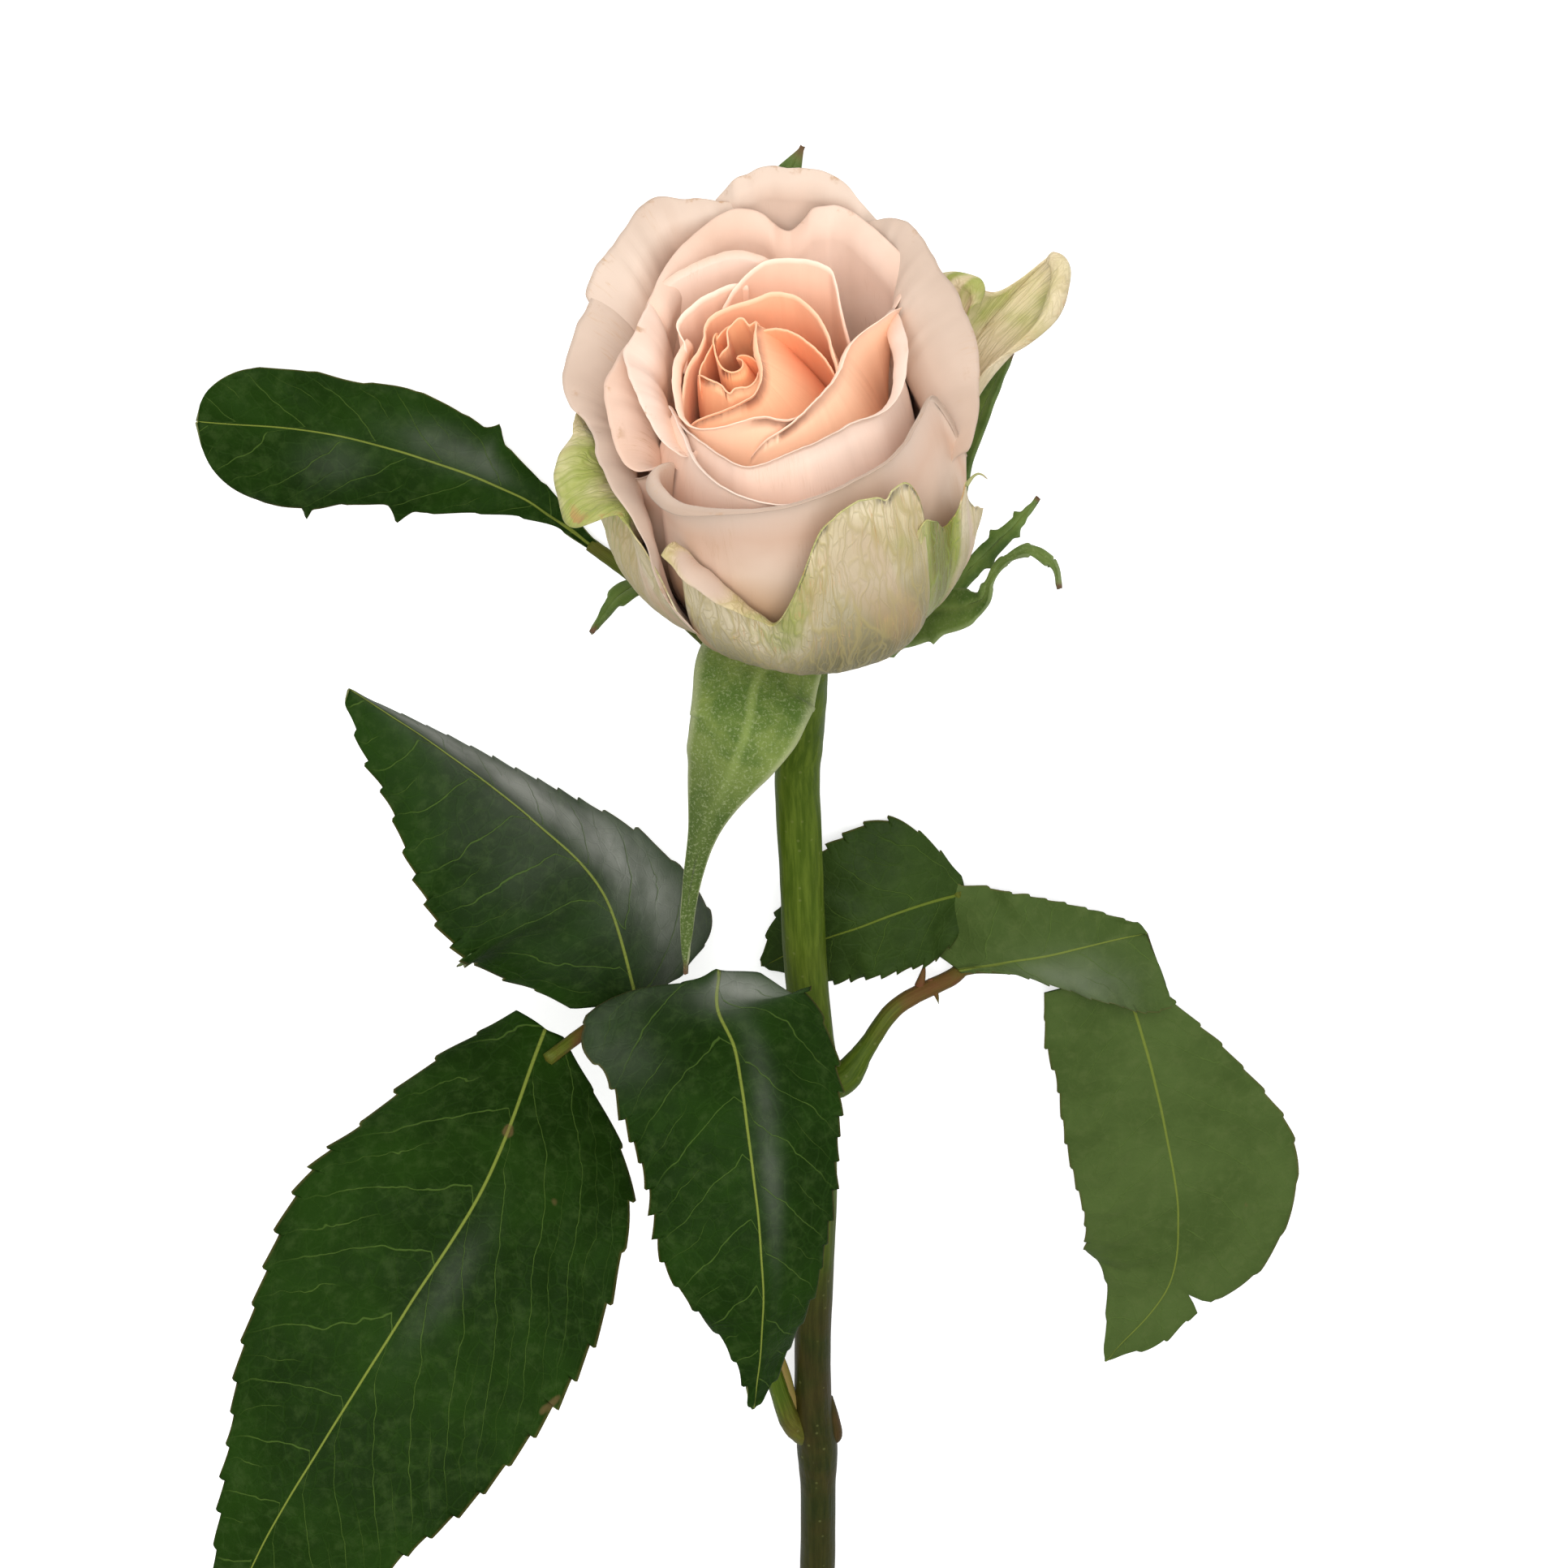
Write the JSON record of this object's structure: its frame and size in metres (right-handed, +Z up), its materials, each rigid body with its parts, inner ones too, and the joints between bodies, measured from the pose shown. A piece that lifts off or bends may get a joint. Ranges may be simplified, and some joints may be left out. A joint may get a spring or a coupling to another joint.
{
  "type": "cut rose",
  "caption": "Half-open cut rose with layered petals in a toothed green calyx, on a leafy stem that ends in a slanting cut, lying on a surface",
  "frame": {"origin": "on the surface the rose lies on, under the middle of its bounding box", "axes": "+Z up from the surface, +Y from the cut end of the stem towards the bloom, +X to the right seen from the cut end"},
  "size_m": [0.1633, 0.3134, 0.081],
  "materials": {
    "stem": "smooth waxy green, browner towards the cut",
    "calyx": "soft, finely downy green",
    "petals": "soft matt cream to peach, greenish on the guard petals",
    "leaf_dark": "glossy dark green upper side",
    "leaf_pale": "matt, paler green, lower side mostly"
  },
  "bodies": {
    "root": {"stem": "stem", "calyx": "calyx", "bloom": "petals", "leaf_left": "leaf_dark", "leaf_right": "leaf_pale", "bract_leaf": "leaf_dark"}
  },
  "joints": []
}
